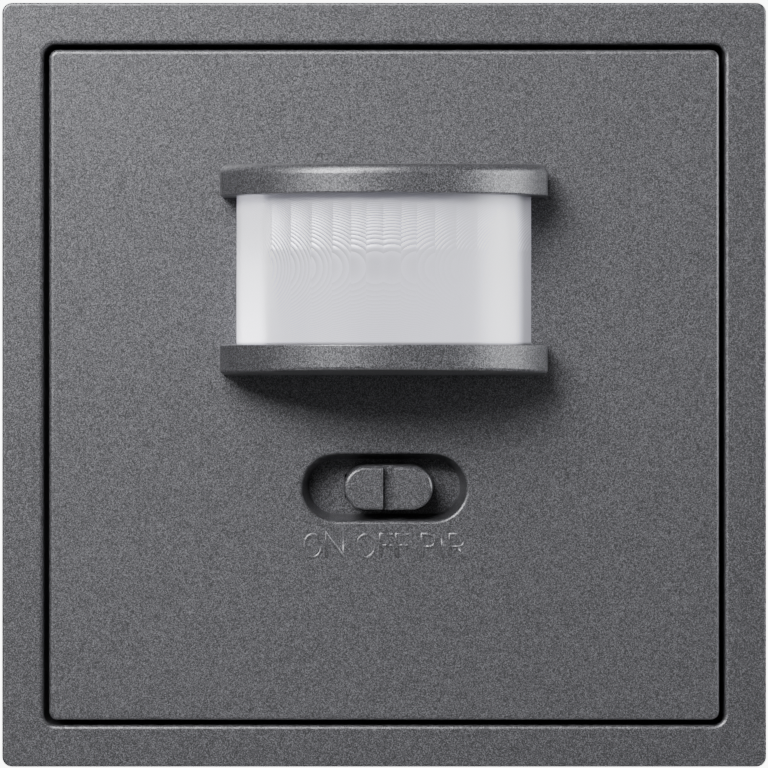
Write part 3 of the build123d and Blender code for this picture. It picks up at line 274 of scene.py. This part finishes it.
def vectorMath(tree, operation, first, second=None, scale=None):
    node = addNode(tree, "ShaderNodeVectorMath", operation=operation)
    feed(tree, node.inputs[0], first)
    feed(tree, node.inputs[1], second)
    if scale is not None:
        feed(tree, node.inputs["Scale"], scale)
    return node.outputs["Vector"]


def mixColours(tree, factor, first, second):
    node = addNode(tree, "ShaderNodeMix", data_type="RGBA")
    tree.links.new(factor, node.inputs["Factor"])
    for socket, colour in (("A", first), ("B", second)):
        target = next(s for s in node.inputs if s.name == socket and s.type == "RGBA")
        target.default_value = (*colour, 1)
    return next(s for s in node.outputs if s.type == "RGBA")


def bump(tree, height, distance, strength, normal=None):
    node = addNode(tree, "ShaderNodeBump")
    tree.links.new(height, node.inputs["Height"])
    node.inputs["Distance"].default_value = distance
    node.inputs["Strength"].default_value = strength
    feed(tree, node.inputs["Normal"], normal)
    return node.outputs["Normal"]


def toneRamp(tree, value, stops, interpolation):
    ramp = addNode(tree, "ShaderNodeValToRGB")
    tree.links.new(value, ramp.inputs["Fac"])
    ramp.color_ramp.interpolation = interpolation
    elements = ramp.color_ramp.elements
    while len(elements) > 1:
        elements.remove(elements[-1])
    for index, (place, tone) in enumerate(stops):
        stop = elements[0] if index == 0 else elements.new(place)
        stop.position = place
        stop.color = (tone, tone, tone, 1)
    return ramp.outputs["Color"]


# Metallic lacquer: dark grey with fine flakes that catch the light one by one

lacquer = {
    "dark": (0.027, 0.027, 0.0297),
    "light": (0.178, 0.178, 0.195),
    "flakeSize": 0.00009,
    "flakeTilt": 0.1,
    "grainSize": 0.00009,
    "grainDetail": 3.0,
    "grainRoughness": 0.65,
    "grainHeight": 0.00001,
    "grainStrength": 0.6,
    "sparkSpan": (0.25, 0.75),   # how far the mean of flake and grain swings
    "sparkPower": 1.8,           # above 1 makes the light flakes fewer
    "metallic": 0.45,
    "roughness": 0.42,
    "coat": 0.35,
    "coatRoughness": 0.28,
}
cellMiddle = (0.5, 0.5, 0.5)     # the mean colour of the cells that stand for flakes


def lacquerMaterial():
    material, tree, shader = newMaterial("metallic lacquer")
    flakes = cellTexture(tree, lacquer["flakeSize"])
    grain = noiseTexture(tree, lacquer["grainSize"], lacquer["grainDetail"], lacquer["grainRoughness"])
    shine = addNode(tree, "ShaderNodeSeparateColor")
    tree.links.new(flakes, shine.inputs["Color"])
    mean = multiply(tree, reckon(tree, "ADD", shine.outputs["Green"], grain), 0.5)
    even = mapRange(tree, mean, *lacquer["sparkSpan"], 0.0, 1.0)
    spark = reckon(tree, "POWER", even, lacquer["sparkPower"])
    tree.links.new(mixColours(tree, spark, lacquer["dark"], lacquer["light"]), shader.inputs["Base Color"])
    lean = vectorMath(tree, "SUBTRACT", flakes, cellMiddle)
    tilt = vectorMath(tree, "SCALE", lean, scale=lacquer["flakeTilt"])
    normal = addNode(tree, "ShaderNodeNewGeometry").outputs["Normal"]
    tilted = vectorMath(tree, "NORMALIZE", vectorMath(tree, "ADD", normal, tilt))
    rough = bump(tree, grain, lacquer["grainHeight"], lacquer["grainStrength"], tilted)
    tree.links.new(rough, shader.inputs["Normal"])
    shader.inputs["Metallic"].default_value = lacquer["metallic"]
    shader.inputs["Roughness"].default_value = lacquer["roughness"]
    shader.inputs["Coat Weight"].default_value = lacquer["coat"]
    shader.inputs["Coat Roughness"].default_value = lacquer["coatRoughness"]
    return material


# Milky lens: fine rings inside each upright zone show through the plastic. Its tone across, its glow and the
# rings' bright flanks are painted light and shade.
# Places are in mm from the plate's middle: across, or up.

lens = {
    "tint": (0.925, 0.92, 1.04),
    "roughness": 0.3,
    "scatter": 1.0,
    "scatterRadius": 0.0024,
    "reach": 20.0,                        # half the width that the tables across the lens may use
    "tonesWithPaintedLight": (                            # of the plastic across the lens, with painted light on both flanks and painted shade at the right end
        (-15.4, 0.8), (-14.6, 0.92), (-12.6, 0.92), (-10.5, 0.6), (0.0, 0.55), (9.0, 0.57),
        (12.0, 0.9), (13.5, 0.9), (14.8, 0.34), (15.4, 0.3),
    ),
    "topShade": ((16.6, 1.0), (19.6, 0.72)),      # the upper bar shades the lens's top
    "footShade": ((4.3, 0.25), (4.55, 1.0)),      # and it darkens where it enters the lower bar
    "glow": 1.5,                          # painted glow: the plastic shines by itself, standing in for light scattered inside it
    "paintedGlowShares": (                       # of the painted glow, across the lens; it brightens both flanks
        (-15.4, 0.3), (-14.6, 0.75), (-13.0, 0.7), (-11.8, 0.14), (-8.0, 0.1), (0.0, 0.08),
        (9.0, 0.09), (12.6, 0.22), (13.3, 0.22), (14.7, 0.0),
    ),
    "paintedGlowFall": ((4.5, 2.6), (16.0, 0.75)),       # the painted glow weakens from the lower bar upward
}
rings = {
    "pitch": 1.4e-6,                      # square metres between rings, so they crowd outward
    "height": 12.1,                       # of the rings' centres
    "zoneEdges": (0.0, 1.74, 3.35, 5.3, 7.35, 9.55, 11.6, 13.4, 14.8),
    "zoneDrift": 0.36,                    # how far each zone's rings lie outward of its middle
    "contrast": 1.1,
    "groove": 0.00004,
    "grooveStrength": 0.6,
    "across": ((-9.0, 1.0), (8.0, 0.12)),         # they fade from left to right: painted light, strongest on the side the light comes from
    "clearHeight": 15.7,
    "clearFade": ((1.5, 1.0), (3.4, 0.3)),        # and above and below the height where they are clear
}
# Painted highlights: the rings' flanks shine as if lit from the left
paintedStreaks = {
    "glow": 3.0,                          # painted highlight on the rings' flanks
    "sharpness": 3.0,
    "start": ((-12.4, 0.0), (-11.9, 1.0)),        # left of this they drown in the painted bright end
    "foot": ((13.9, 0.0), (14.3, 1.0)),
    "head": ((17.0, 1.0), (19.0, 0.0)),
    "inZone": ((0.3, 1.0), (1.9, 0.1)),           # from each zone's left edge
}


def rampPlace(place):
    return (place / lens["reach"] + 1) / 2


def alongLens(tree, fromLeft, table):
    return toneRamp(tree, fromLeft, [(rampPlace(place), tone) for place, tone in table], "EASE")


def ringWave(tree, sideways, height):
    # a saw from 0 to 1 over each ring; the zones' ring centres are kept in a ramp as shares
    width = 2 * lens["reach"]
    edges = rings["zoneEdges"]
    centres = []
    for low, high in zip(edges[:-1], edges[1:]):
        drift = 1 + rings["zoneDrift"] if low else 1
        centres.append((low / lens["reach"], (low + high) / 2 * drift / width))
    across = reckon(tree, "ABSOLUTE", sideways)
    share = multiply(tree, across, 1 / (lens["reach"] * mm))
    centre = multiply(tree, toneRamp(tree, share, centres, "CONSTANT"), width * mm)
    outward = reckon(tree, "SUBTRACT", across, centre)
    upward = reckon(tree, "SUBTRACT", height, rings["height"] * mm)
    radius = reckon(tree, "ADD", multiply(tree, outward, outward), multiply(tree, upward, upward))
    return reckon(tree, "FRACT", multiply(tree, radius, 1 / (2 * rings["pitch"])))


def paintedRingHighlights(tree, sideways, height, fromLeft, wave, fadeFromLitSide):
    # painted highlights on the rings' flanks, strongest at each zone's left edge
    edges = rings["zoneEdges"]
    borders = sorted({-edge for edge in edges} | set(edges[:-1]))
    nearest = toneRamp(tree, fromLeft, [(rampPlace(edge), rampPlace(edge)) for edge in borders], "CONSTANT")
    fromEdge = multiply(tree, reckon(tree, "SUBTRACT", fromLeft, nearest), 2 * lens["reach"] * mm)
    band = multiply(tree, fade(tree, height, paintedStreaks["foot"]), fade(tree, height, paintedStreaks["head"]))
    crest = multiply(tree, reckon(tree, "POWER", wave, paintedStreaks["sharpness"]), fadeFromLitSide)
    started = multiply(tree, fade(tree, sideways, paintedStreaks["start"]), paintedStreaks["glow"])
    return multiply(tree, band, fade(tree, fromEdge, paintedStreaks["inZone"]), crest, started)


def lensMaterial():
    material, tree, shader = newMaterial("milky lens")
    point = addNode(tree, "ShaderNodeSeparateXYZ")
    tree.links.new(objectPoint(tree), point.inputs["Vector"])
    sideways, height = point.outputs["X"], point.outputs["Z"]
    fromLeft = mapRange(tree, sideways, -lens["reach"] * mm, lens["reach"] * mm, 0.0, 1.0)
    wave = ringWave(tree, sideways, height)
    fadeFromLitSide = fade(tree, sideways, rings["across"])
    fromClear = reckon(tree, "ABSOLUTE", reckon(tree, "SUBTRACT", height, rings["clearHeight"] * mm))
    clear = fade(tree, fromClear, rings["clearFade"])
    # the rings' pattern is real; its contrast, stronger on the lit left side, is painted light
    ridge = multiply(tree, reckon(tree, "SUBTRACT", wave, 0.5), multiply(tree, clear, fadeFromLitSide))
    ringTone = reckon(tree, "ADD", multiply(tree, ridge, rings["contrast"]), 1.0)
    shade = multiply(tree, fade(tree, height, lens["footShade"]), fade(tree, height, lens["topShade"]))
    tone = multiply(tree, alongLens(tree, fromLeft, lens["tonesWithPaintedLight"]), ringTone, shade)
    # painted glow, brighter on the flanks and low down, plus painted highlights on the rings
    paintedEvenGlow = multiply(tree, alongLens(tree, fromLeft, lens["paintedGlowShares"]), fade(tree, height, lens["paintedGlowFall"]))
    glow = reckon(tree, "ADD", paintedEvenGlow, paintedRingHighlights(tree, sideways, height, fromLeft, wave, fadeFromLitSide))
    glow = multiply(tree, glow, ringTone, shade)
    tree.links.new(vectorMath(tree, "SCALE", lens["tint"], scale=tone), shader.inputs["Base Color"])
    tree.links.new(vectorMath(tree, "SCALE", lens["tint"], scale=glow), shader.inputs["Emission Color"])
    tree.links.new(bump(tree, ridge, rings["groove"], rings["grooveStrength"]), shader.inputs["Normal"])
    shader.inputs["Emission Strength"].default_value = lens["glow"]
    shader.inputs["Roughness"].default_value = lens["roughness"]
    shader.inputs["Subsurface Weight"].default_value = lens["scatter"]
    shader.inputs["Subsurface Radius"].default_value = (1, 1, 1)
    shader.inputs["Subsurface Scale"].default_value = lens["scatterRadius"]
    return material


# Plain moulded, plated and coated finishes of the pieces behind the plate

finishes = {
    "black_plastic": {"dark": (0.016, 0.016, 0.018), "light": (0.03, 0.03, 0.033), "size": 0.0004,
                      "height": 0.000012, "roughness": 0.5, "metallic": 0.0},
    "white_plastic": {"dark": (0.62, 0.62, 0.6), "light": (0.72, 0.72, 0.7), "size": 0.0006,
                      "height": 0.000008, "roughness": 0.42, "metallic": 0.0},
    "grey_plastic": {"dark": (0.19, 0.195, 0.2), "light": (0.24, 0.245, 0.25), "size": 0.0004,
                     "height": 0.000014, "roughness": 0.55, "metallic": 0.0},
    "blue_plastic": {"dark": (0.02, 0.08, 0.3), "light": (0.03, 0.12, 0.4), "size": 0.0008,
                     "height": 0.000006, "roughness": 0.3, "metallic": 0.0},
    "clear_plastic": {"dark": (0.8, 0.82, 0.85), "light": (0.9, 0.91, 0.93), "size": 0.001,
                      "height": 0.000002, "roughness": 0.08, "metallic": 0.0},
    "circuit_board": {"dark": (0.008, 0.07, 0.03), "light": (0.015, 0.12, 0.05), "size": 0.0014,
                      "height": 0.00001, "roughness": 0.35, "metallic": 0.0},
    "nickel_can": {"dark": (0.5, 0.48, 0.43), "light": (0.68, 0.66, 0.6), "size": 0.0012,
                   "height": 0.000003, "roughness": 0.22, "metallic": 1.0},
    "zinc_plated_steel": {"dark": (0.42, 0.43, 0.45), "light": (0.62, 0.63, 0.66), "size": 0.0009,
                          "height": 0.000006, "roughness": 0.32, "metallic": 1.0},
    "sheet_steel": {"dark": (0.38, 0.39, 0.41), "light": (0.58, 0.59, 0.61), "size": 0.0016,
                    "height": 0.000006, "roughness": 0.36, "metallic": 1.0},
    "contact_brass": {"dark": (0.55, 0.37, 0.12), "light": (0.75, 0.55, 0.24), "size": 0.001,
                      "height": 0.000005, "roughness": 0.3, "metallic": 1.0},
    "capacitor_sleeve": {"dark": (0.012, 0.014, 0.03), "light": (0.022, 0.026, 0.05), "size": 0.001,
                         "height": 0.000004, "roughness": 0.25, "metallic": 0.0},
    "film_case": {"dark": (0.45, 0.33, 0.03), "light": (0.55, 0.42, 0.05), "size": 0.0008,
                  "height": 0.000008, "roughness": 0.4, "metallic": 0.0},
    "ferrite": {"dark": (0.02, 0.02, 0.02), "light": (0.06, 0.055, 0.05), "size": 0.0005,
                "height": 0.00002, "roughness": 0.6, "metallic": 0.0},
    "fuse_tube": {"dark": (0.62, 0.6, 0.52), "light": (0.75, 0.73, 0.66), "size": 0.0007,
                  "height": 0.000006, "roughness": 0.35, "metallic": 0.0},
}
texture = {
    "grainDetail": 4.0,
    "grainRoughness": 0.6,
    "grainStrength": 0.5,
    "cloudSizes": 25,            # size of the soft clouds, in grains
    "cloudDetail": 2.0,
    "cloudRoughness": 0.5,
    "span": (0.3, 0.7),          # how far the noise really swings
    "glossSpread": 0.15,         # the clouds change the roughness by this share
}


def finishMaterial(slot):
    look = finishes[slot]
    material, tree, shader = newMaterial(slot.replace("_", " "))
    grain = noiseTexture(tree, look["size"], texture["grainDetail"], texture["grainRoughness"])
    cloudSize = look["size"] * texture["cloudSizes"]
    cloud = noiseTexture(tree, cloudSize, texture["cloudDetail"], texture["cloudRoughness"])
    mean = multiply(tree, reckon(tree, "ADD", grain, cloud), 0.5)
    spread = mapRange(tree, mean, *texture["span"], 0.0, 1.0)
    tree.links.new(mixColours(tree, spread, look["dark"], look["light"]), shader.inputs["Base Color"])
    tree.links.new(bump(tree, grain, look["height"], texture["grainStrength"]), shader.inputs["Normal"])
    gloss = [look["roughness"] * (1 + change) for change in (-texture["glossSpread"], texture["glossSpread"])]
    tree.links.new(mapRange(tree, cloud, *texture["span"], *gloss), shader.inputs["Roughness"])
    shader.inputs["Metallic"].default_value = look["metallic"]
    return material


materials = {"metallic_lacquer": lacquerMaterial(), "milky_plastic": lensMaterial()}
for slot in finishes:
    materials[slot] = finishMaterial(slot)
slotOf = {entry["node"]: entry["material_slot"] for entry in record["subparts"]}
for name, piece in nodes.items():
    for holder in piece.material_slots:
        holder.material = materials[slotOf[name]]
nodes["fresnel_lens"].visible_shadow = False     # light passes through the milky plastic
print("finishes laid on", len(nodes), "pieces")


def meshPiece(name, shape, body, slot, smooth=False):
    bmesh.ops.recalc_face_normals(shape, faces=shape.faces)
    mesh = bpy.data.meshes.new(name)
    shape.to_mesh(mesh)
    shape.free()
    for face in mesh.polygons:
        face.use_smooth = smooth
    piece = bpy.data.objects.new(name, mesh)
    piece.data.materials.append(materials[slot])
    bpy.context.scene.collection.objects.link(piece)
    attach(piece, body)
    return piece


# Legend under the slider: thin raised strokes with rounded backs.
# Letters are drawn in a box one wide and one high; a share is a place in it.

legend = {
    "middle": -17.03,            # height of the letters' middle
    "height": 2.42,
    "stroke": 0.4,
    "proud": 0.09,
    "sunk": 0.03,
    "facets": 8,                 # faces across a stroke's rounded back
    "letters": (                 # letter, left edge, width
        ("O", -8.43, 1.83), ("N", -6.05, 1.8), ("O", -2.83, 1.86), ("F", -0.35, 1.25),
        ("F", 1.35, 1.25), ("P", 4.05, 1.35), ("I", 6.15, 0.0), ("R", 7.0, 1.5),
    ),
    "ovalSteps": 40,
    "bowlSteps": 10,
    "bowlShares": (0.46, 1.0),   # lowest and highest point of the bowl of P and R
    "bowlTurnShare": 0.62,       # how far right its straight part runs
    "legShare": 0.55,            # where R's leg leaves the bowl
    "barShare": 0.52,            # height of F's lower bar
    "barLengthShare": 0.9,
    "sharpestMitre": 0.45,       # keeps the outer corner of N short
}


def bowlPoints():
    (low, high), start = legend["bowlShares"], legend["bowlTurnShare"]
    middle, reach, steps = (low + high) / 2, (high - low) / 2, legend["bowlSteps"]
    turns = [pi / 2 - pi * step / steps for step in range(steps + 1)]
    return [(start + (1 - start) * cos(turn), middle + reach * sin(turn)) for turn in turns]


def letterStrokes(letter):
    # each stroke is a list of points, and True where it closes on itself
    if letter == "O":
        turns = [2 * pi * step / legend["ovalSteps"] for step in range(legend["ovalSteps"])]
        return [([((1 + sin(turn)) / 2, (1 + cos(turn)) / 2) for turn in turns], True)]
    if letter == "N":
        return [([(0, 0), (0, 1), (1, 0), (1, 1)], False)]
    if letter == "F":
        bar, length = legend["barShare"], legend["barLengthShare"]
        return [([(0, 0), (0, 1), (1, 1)], False), ([(0, bar), (length, bar)], False)]
    if letter == "I":
        return [([(0, 0), (0, 1)], False)]
    low, high = legend["bowlShares"]
    strokes = [([(0, 0), (0, high), *bowlPoints(), (0, low)], False)]
    if letter == "R":
        strokes.append(([(legend["legShare"], low), (1, 0)], False))
    return strokes


def strokeSides(points, closed, half):
    # mitred offsets to both sides of a stroke
    count = len(points)
    sides = []
    for index, here in enumerate(points):
        before = points[(index - 1) % count] if closed or index else None
        after = points[(index + 1) % count] if closed or index < count - 1 else None
        normals = []
        for start, end in ((before, here), (here, after)):
            if start is not None and end is not None:
                run = Vector((end[0] - start[0], end[1] - start[1])).normalized()
                normals.append(Vector((-run.y, run.x)))
        mean = sum(normals, Vector((0, 0))).normalized()
        reach = half / max(mean.dot(normals[0]), legend["sharpestMitre"])
        sides.append((Vector(here) + mean * reach, Vector(here) - mean * reach))
    return sides


def addStroke(shape, points, closed):
    # rounded bead along a stroke, its foot a little below the plate's face
    sides = strokeSides(points, closed, legend["stroke"] / 2 * mm)
    foot = plateFace + legend["sunk"] * mm
    rise = (legend["proud"] + legend["sunk"]) * mm
    steps = legend["facets"]
    loops = []
    for left, right in sides:
        loop = []
        for step in range(steps + 1):
            turn = pi * step / steps
            place = left.lerp(right, (1 - cos(turn)) / 2)
            loop.append(shape.verts.new((place.x, foot - rise * sin(turn), place.y)))
        loops.append(loop)
    pairs = list(zip(loops, loops[1:]))
    if closed:
        pairs.append((loops[-1], loops[0]))
    for first, second in pairs:
        for side in range(steps + 1):
            other = (side + 1) % (steps + 1)
            shape.faces.new((first[side], first[other], second[other], second[side]))
    if not closed:
        shape.faces.new(loops[0])
        shape.faces.new(list(reversed(loops[-1])))


def addLegend():
    shape = bmesh.new()
    low = legend["middle"] - legend["height"] / 2
    for letter, left, width in legend["letters"]:
        for points, closed in letterStrokes(letter):
            placed = [((left + x * width) * mm, (low + z * legend["height"]) * mm) for x, z in points]
            addStroke(shape, placed, closed)
    meshPiece("legend", shape, unitBody, "metallic_lacquer", smooth=True)


addLegend()
print("legend raised")


# Claw screws: the CAD head, slot and all, with a cut thread in place of the plain shank

thread = {
    "pitch": 0.5,
    "depth": 0.22,
    "runOut": 0.8,               # length over which the thread fades at both ends
    "flankSlope": 1.6,           # steeper flanks leave wider crests and roots
    "rootFlat": 0.3,
    "sides": 24,
    "rows": 8,                   # for each pitch
    "headFront": 0.9,            # the shank starts at least this far behind the head's front
    "screws": {"claw_screw_top": "screw_top", "claw_screw_bottom": "screw_bottom"},
}
near = 0.01 * mm                 # places closer than this count as one


def threadRadius(shank, along, length, turn):
    # right-hand thread with flat crests and roots
    share = (along / (thread["pitch"] * mm) - turn / (2 * pi)) % 1
    crest = min(max(abs(2 * share - 1) * thread["flankSlope"] - thread["rootFlat"], 0), 1)
    fromNeck, fromTip = (min(1, part / (thread["runOut"] * mm)) for part in (along, length - along))
    return shank - thread["depth"] * mm * fromNeck * (1 - crest * fromTip)


def stripShank(shape, centre, front, tip):
    # takes the plain shank off a screw that points backward, and says its radius and where it began
    fromAxis = {vert: Vector((vert.co.x - centre.x, vert.co.z - centre.z)).length for vert in shape.verts}
    shank = max(fromAxis[vert] for vert in shape.verts if abs(vert.co.y - tip) < near)
    behindHead = front + thread["headFront"] * mm
    neck = min(
        vert.co.y for vert in shape.verts
        if abs(fromAxis[vert] - shank) < near and vert.co.y > behindHead
    )
    plain = [
        face for face in shape.faces
        if all(fromAxis[vert] < shank + near and vert.co.y > neck - near for vert in face.verts)
    ]
    bmesh.ops.delete(shape, geom=plain, context="FACES")
    return shank, neck


def addThreadedScrew(node, body):
    low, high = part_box(node)
    centre = Vector(((low[0] + high[0]) / 2, 0, (low[2] + high[2]) / 2))
    tip = high[1]
    shape = bmesh.new()
    shape.from_mesh(nodes[node].data)
    shank, neck = stripShank(shape, centre, low[1], tip)
    length, sides = tip - neck, thread["sides"]
    rows = round(length / (thread["pitch"] * mm) * thread["rows"])
    loops = []
    for row in range(rows + 1):
        along = length * row / rows
        loop = []
        for side in range(sides):
            turn = 2 * pi * side / sides
            reach = threadRadius(shank, along, length, turn)
            place = centre + Vector((reach * sin(turn), neck + along, reach * cos(turn)))
            loop.append(shape.verts.new(place))
        loops.append(loop)
    for first, second in zip(loops, loops[1:]):
        for side in range(sides):
            other = (side + 1) % sides
            shape.faces.new((first[side], first[other], second[other], second[side]))
    shape.faces.new(loops[-1])
    piece = meshPiece(node + "_threaded", shape, body, "zinc_plated_steel")
    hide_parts(node)


for node, body in thread["screws"].items():
    addThreadedScrew(node, body)
print("claw screws threaded")
